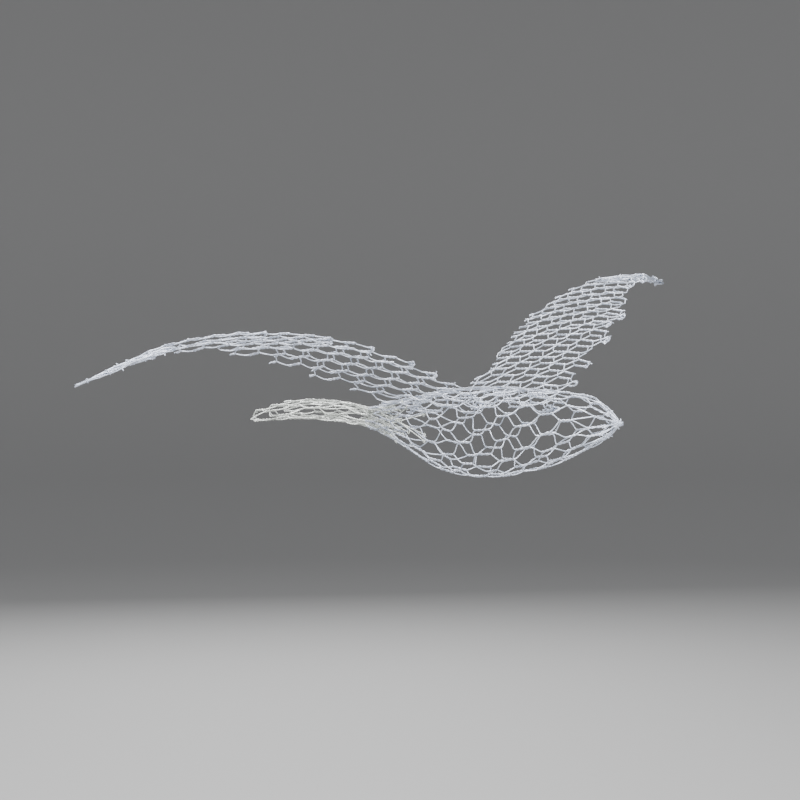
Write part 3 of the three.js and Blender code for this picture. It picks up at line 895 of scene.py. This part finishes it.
# the outermost wires wound together to the wing's tip
def drawBundle(work, net, surface, wing, lastColumn):
    side = wing["side"]
    first = min(lastColumn - wing["bundleLead"], surface.columns - 2)
    last = surface.columns - 0.01

    def section(share):
        column = lerp(first, last, share)
        trail, lead = surface.edges(column)
        _, normal, chord = surface.seat(column, (trail.x + lead.x) / 2, 1)
        thick = lerp(wing["thick"], wing["tip"], clamp(share, 0, 1) ** wing["taper"])
        return trail.lerp(lead, lerp(wing["bundlePlace"], 0.5, min(1.4 * share, 1))), normal, chord, thick

    length = (surface.centre(last) - surface.centre(first)).length
    joint = clamp((lastColumn + bundle["netAhead"] - first) / (last - first), 0.1, 1)

    def strandPlace(share, angle, depth):
        centre, normal, chord, thick = section(share)
        across = chord * math.cos(angle) * bundle["wide"] * thick * depth
        return centre + across + normal * math.sin(angle) * bundle["high"] * thick * depth

    for j in range(wing["strands"]):
        begin = bundle["begin"] + bundle["lateBegin"] * abs(scatter(j + 0.5)) * (j % 3 == 2)
        end = bundle["end"] - bundle["soonEnd"] * abs(scatter(j + 0.8)) * (j % 2)
        steps = max(int((end - begin) * length / bundle["stepLength"]), 6)
        depth = 0.4 + 0.45 * ((j * 0.618) % 1)
        path = []
        for k in range(steps + 1):
            share = lerp(begin, end, k / steps)
            travel = share * length
            turn = j / wing["strands"] + travel / bundle["turnLength"]
            angle = 2 * math.pi * turn + 0.5 * math.sin(travel / 3.7 + j)
            swell = depth + 0.22 * wing["tangle"] * math.sin(travel / (2.6 + 0.3 * (j % 4)) + 2 * j)
            path.append(strandPlace(share, angle, clamp(swell, 0.1, 0.95)))
        work.run(path, True, True)
    coils = max(int(length / bundle["coilSpacing"]), 2)
    for j in range(coils):
        share = (j + 0.4 + 0.3 * scatter(j + side)) / coils
        centre, normal, chord, thick = section(share)
        axis = section(share + bundle["probe"])[0] - centre
        radius, turns = bundle["coilRadius"] * thick, bundle["coilTurns"] + 0.5 * scatter(j)
        work.coil(centre, axis, radius, turns, bundle["coilPitch"], j + 7, bundle["coilTall"], normal)
    # cut ends that stand off the bundle
    for j in range(bundle["cutEnds"] * coils):
        share = abs(scatter(j * 1.7 + side))
        centre, normal, chord, thick = section(share)
        turn = math.pi * scatter(j + 0.21)
        off = (chord * math.cos(turn) + normal * math.sin(turn)).normalized()
        ahead = min(share + bundle["probe"], 1)
        out = (section(ahead)[0] - section(ahead - bundle["probe"])[0]).normalized()
        root = centre + off * bundle["cutRoot"] * thick
        cutLength = bundle["cutLength"] + 0.6 * scatter(j + 0.4)
        work.cutWire(root, out, root + (off + out * 0.5) * cutLength, off, j, 0.9)
    for j in range(wing["prongs"]):
        drawProng(work, section, j)
    # the outermost points of the net run into it
    kept = {point for a, b, kind in net.wires for point in (a, b)}
    farthest = max(side * net.places[point].y for point in kept)
    inside = farthest - netting["meshWidth"] * bundle["netReach"]
    centre, normal, chord, thick = section(joint)
    for point in sorted(kept):
        if side * net.places[point].y < inside or net.degree(point) > 2:
            continue
        offset = net.places[point] - centre
        seat = centre + chord * offset.dot(chord) * bundle["netWide"]
        seat += normal * offset.dot(normal) * bundle["netHigh"]
        net.addWire(point, net.addPoint(seat, net.normals[point]), "single")


# cut wires that stand up at a wing's tip, each with a knot below, at shares of the bundle's length
prong = {
    "root": 0.84,
    "rootStep": 0.03,
    "end": 0.95,
    "rise": 1.9,
    "steps": 6,
    "knotPlace": 0.8,
    "knotDrop": 1.2,
    "knot": (0.75, 1.6, 0.55),
}


def drawProng(work, section, j):
    root, normal, chord, thick = section(prong["root"] + prong["rootStep"] * j)
    rise = prong["rise"] - 0.5 * abs(scatter(j))
    end = section(prong["end"])[0] + Vector((0.5 * scatter(j + 0.3), 0.7 * j - 1, rise))
    out = (end - root).normalized()
    work.cutWire(root, out, end, out, j, 0.7, prong["steps"])
    drop = -prong["knotDrop"] - 0.25 * j
    knot = section(prong["knotPlace"])[0] + Vector((0.4 * scatter(j + 0.6), 0.4 * scatter(j + 0.8), drop))
    work.coil(knot, chord + normal * scatter(j), *prong["knot"], j + 31)


rootTies = {
    "spacing": 24,
    "reach": 3.2,  # farthest from the body's surface
    "turns": 1.1,
    "pitch": 0.7,
    "cutLength": 1.6,
}


# the root's wires hooked round the body's, each with a cut end
def drawRootTies(work, net, side):
    seen = []
    for a, b, kind in net.wires:
        middle = net.places[a].lerp(net.places[b], 0.5)
        off = side * middle.y - bodySide(middle.x, middle.z)
        crowded = any((middle - other).length < rootTies["spacing"] for other in seen)
        if kind == "single" or off > rootTies["reach"] or crowded:
            continue
        seen.append(middle)
        seed = len(seen) + 40 * side
        centre = middle - Vector((0, side * 0.5 * off, 0))
        axis = Vector((1, 0.2 * scatter(seed), 0.2))
        work.coil(centre, axis, 0.4 * off + 0.25, rootTies["turns"], rootTies["pitch"], seed)
        out = Vector((scatter(seed + 0.3), side * 0.8, scatter(seed + 0.5))).normalized()
        root = middle + out * 0.3
        end = root + out * rootTies["cutLength"]
        work.run(bend(root, out, end, out, seed, 0.8, smallWork["cutSteps"]), True, True)


makeWing("rightWingNet", "right_wing_net", rightWing)
makeWing("leftWingNet", "left_wing_net", leftWing)

# a net tube that starts inside the body's open end and is pressed flat to a fan
tail = {
    "length": 69.4,
    "inset": 14,
    "slack": 0.4,
    "width": 48,
    "depth": 10,
    "roll": 8,
    "rise": 2.5,
    "wobble": 0.7,
    "linkReach": 1.8,  # longest link at the rear end, as a share of the depth
    "rearPinch": 0.75,  # how boxy the section gets at the rear end
    "samples": 96,
    "barDrop": 1.75,  # thickness of the CAD bars as a share of half their width
    # share of the length behind the body, shares of half the width and of half the depth
    "stations": [
        [0.0, 0.2, 0.94],
        [0.11, 0.26, 1.0],
        [0.35, 0.54, 1.0],
        [0.64, 0.82, 0.8],
        [1.0, 1.0, 0.64],
    ],
}
tailTies = {
    "loose": 16,  # wires that cross between the body's rear and the tail
    "looseFront": (6, 22),  # nearest place ahead of the body's rear end, and how much they differ
    "looseRear": 8,
    "knot": (0.75, 1.3, 0.75),
    "stray": 9,  # crushed wires that run along the tail
    "strayLength": 34,
    "straySteps": 30,
}
tailFront = body["beakReach"] - body["length"] + tail["inset"]
tailWhole = tail["inset"] + tail["length"]
nestGap = tail["barDrop"] * netting["twistWidth"] / 2 + netting["pieceGap"] + tail["slack"]


def tailSection(along):
    along = min(along, tailWhole)
    share = clamp((along - tail["inset"]) / tail["length"], 0, 1)
    bodyShare = 1 - (tail["inset"] - min(along, tail["inset"])) / body["length"]
    nested = bodyRadius(bodyShare) - nestGap
    outside = along >= tail["inset"]
    wide = readStations(tail["stations"], share, 1) * tail["width"] / 2 if outside else nested
    high = readStations(tail["stations"], share, 2) * tail["depth"] / 2 if outside else nested
    power = lerp(1, tail["rearPinch"], share)

    def pinch(value):
        return math.copysign(abs(value) ** power, value)

    samples = tail["samples"]
    turns = [2 * math.pi * k / samples for k in range(samples + 1)]
    outline = [Vector((0, pinch(math.sin(t)) * wide, pinch(math.cos(t)) * high)) for t in turns]
    lengths = [0]
    for a, b in zip(outline, outline[1:]):
        lengths.append(lengths[-1] + (b - a).length)
    girth = lengths[-1]
    height = bodyCentreHeight(bodyShare) + tail["rise"] * math.sin(math.pi * share)
    centre = Vector((tailFront - along, 0, height))
    roll = Matrix.Rotation(math.radians(tail["roll"]) * share, 3, "X")

    def seat(turn):
        target = (turn - math.floor(turn)) * girth
        k = 0
        while k < samples - 1 and lengths[k + 1] < target:
            k += 1
        part = (target - lengths[k]) / (lengths[k + 1] - lengths[k])
        way = (outline[k + 1] - outline[k]).normalized()
        place = outline[k].lerp(outline[k + 1], part)
        return roll @ place + centre, roll @ Vector((0, -way.z, way.y))

    return {"girth": girth, "advance": 1, "seat": seat}


def makeTail():
    net = Net()
    work = WireWork()
    columns = 4 * round(tailSection(tailWhole)["girth"] / (2 * netting["meshWidth"]))
    rows, _, high = wrapTube(net, columns, 0, tailWhole, tailSection, tail["wobble"])
    for row in (len(rows) - 1, len(rows) - 2):
        for column in range(columns):
            other = (columns + columns // 2 - column) % columns
            a, b = high.get((row, column)), high.get((row, other))
            if a is None or b is None or other <= column or net.degree(a) > 1:
                continue
            if (net.places[a] - net.places[b]).length > tail["linkReach"] * tail["depth"]:
                continue
            net.addWire(a, b, "link")
    loose = {point for point in high.values() if net.degree(point) == 1}
    net.wires = [wire for wire in net.wires if wire[1] not in loose]
    net.prune()
    net.draw(work)
    drawTailTies(work)
    buildPiece("tailNet", work, weatheredWire, "tail_net")


# loose and crushed wires where the tail starts
def drawTailTies(work):
    for k in range(tailTies["loose"]):
        turn = 0.5 * scatter(k + 0.9)
        nearest, differ = tailTies["looseFront"]
        along = body["length"] - nearest - differ * abs(scatter(k + 0.15))
        start = bodySection(along)["seat"](turn, -0.4)[0]
        reach = tail["inset"] + tailTies["looseRear"] * scatter(k + 0.35)
        end = tailSection(reach)["seat"](turn + 0.22 * scatter(k + 0.7))[0]
        away = (end - start).normalized()
        work.run(bend(start, away, end, away, k, 0.5, 6), True, True)
        work.coil(start, Vector((1, 0.3 * scatter(k), 0.3 * scatter(k + 2))), *tailTies["knot"], k + 60)
    for k in range(tailTies["stray"]):
        turn = (k + 0.4 * scatter(k + 0.55)) / tailTies["stray"]
        start = tail["inset"] + 3 + 6 * scatter(k + 0.25)
        end = start + tailTies["strayLength"] + 12 * scatter(k + 0.45)
        path = []
        for step in range(tailTies["straySteps"] + 1):
            along = lerp(start, end, step / tailTies["straySteps"])
            sway = 1.4 * math.sin(along / 4.1 + 2 * k) + 1.1 * (step // 5 % 2)
            section = tailSection(along)
            place, normal = section["seat"](turn + sway / section["girth"])
            path.append(place + normal.normalized() * (0.5 * math.sin(along / 2.7 + k) - 0.6))
        work.run(path, True, True)


makeTail()

studio = {
    "floorDrop": 0.30,
    "floorTone": (0.48, 0.48, 0.48),
    "floorRoughness": 0.9,
    "worldTone": (0.93, 0.95, 1.0),
    "worldStrength": 0.12,
    # place, size, strength of each soft light
    "lights": {
        "keyLight": ((0.25, -1.05, 0.55), 0.8, 26),
        "fillLight": ((1.15, -0.35, 0.25), 0.8, 16),
        "topLight": ((-0.1, 0.1, 0.95), 0.9, 14),
        "backLight": ((-0.9, 0.9, 0.5), 0.9, 12),
    },
    "segments": 72,
    # radius and height of the floor's rounded rim, from its middle outward
    "rim": [(0.0, 0.0), (1.9, 0.0), (2.4, 0.05), (2.8, 0.22), (3.1, 0.55), (3.25, 1.05)],
}


def makeStudio():
    segments = studio["segments"]
    corners, faces = [(0, 0, 0)], []
    for radius, height in studio["rim"][1:]:
        for k in range(segments):
            turn = 2 * math.pi * k / segments
            corners.append((radius * math.cos(turn), radius * math.sin(turn), height))
    for k in range(segments):
        after = (k + 1) % segments
        faces.append((0, 1 + k, 1 + after))
        for ring in range(len(studio["rim"]) - 2):
            low = 1 + ring * segments
            faces.append((low + k, low + segments + k, low + segments + after, low + after))
    mesh = bpy.data.meshes.new("floor")
    mesh.from_pydata(corners, [], faces)
    mesh.shade_smooth()
    finish = Finish("floor")
    finish.feed(Base_Color=colour(studio["floorTone"]), Roughness=studio["floorRoughness"])
    mesh.materials.append(finish.material)
    floor = bpy.data.objects.new("floor", mesh)
    floor.location.z = cadLow.z - studio["floorDrop"]
    bpy.context.scene.collection.objects.link(floor)

    world = bpy.data.worlds.new("studio")
    world.use_nodes = True
    background = world.node_tree.nodes["Background"]
    background.inputs["Color"].default_value = colour(studio["worldTone"])
    background.inputs["Strength"].default_value = studio["worldStrength"]
    bpy.context.scene.world = world

    for name, (place, size, power) in studio["lights"].items():
        data = bpy.data.lights.new(name, "AREA")
        data.shape = "DISK"
        data.size = size
        data.energy = power
        light = bpy.data.objects.new(name, data)
        light.location = place
        light.rotation_euler = (-Vector(place)).to_track_quat("-Z", "Y").to_euler()
        bpy.context.scene.collection.objects.link(light)
    print("studio ready")


makeStudio()

shot = {
    "place": (842.1, -1168.8, 107.0),
    "azimuth": 37,
    "elevation": 4.5,
    "lens": 126,
    "sensor": 36,
    "clip": (0.05, 20),  # in metres
}


def makeCamera():
    data = bpy.data.cameras.new("camera")
    data.lens = shot["lens"]
    data.sensor_width = shot["sensor"]
    data.clip_start, data.clip_end = shot["clip"]
    camera = bpy.data.objects.new("camera", data)
    azimuth, elevation = math.radians(shot["azimuth"]), math.radians(shot["elevation"])
    level = math.cos(elevation)
    back = Vector((math.sin(azimuth) * level, -math.cos(azimuth) * level, math.sin(elevation)))
    camera.location = Vector(shot["place"]) * mm
    camera.rotation_mode = "QUATERNION"
    camera.rotation_quaternion = (-back).to_track_quat("-Z", "Y")
    bpy.context.scene.collection.objects.link(camera)
    bpy.context.scene.camera = camera
    print("camera ready")


makeCamera()
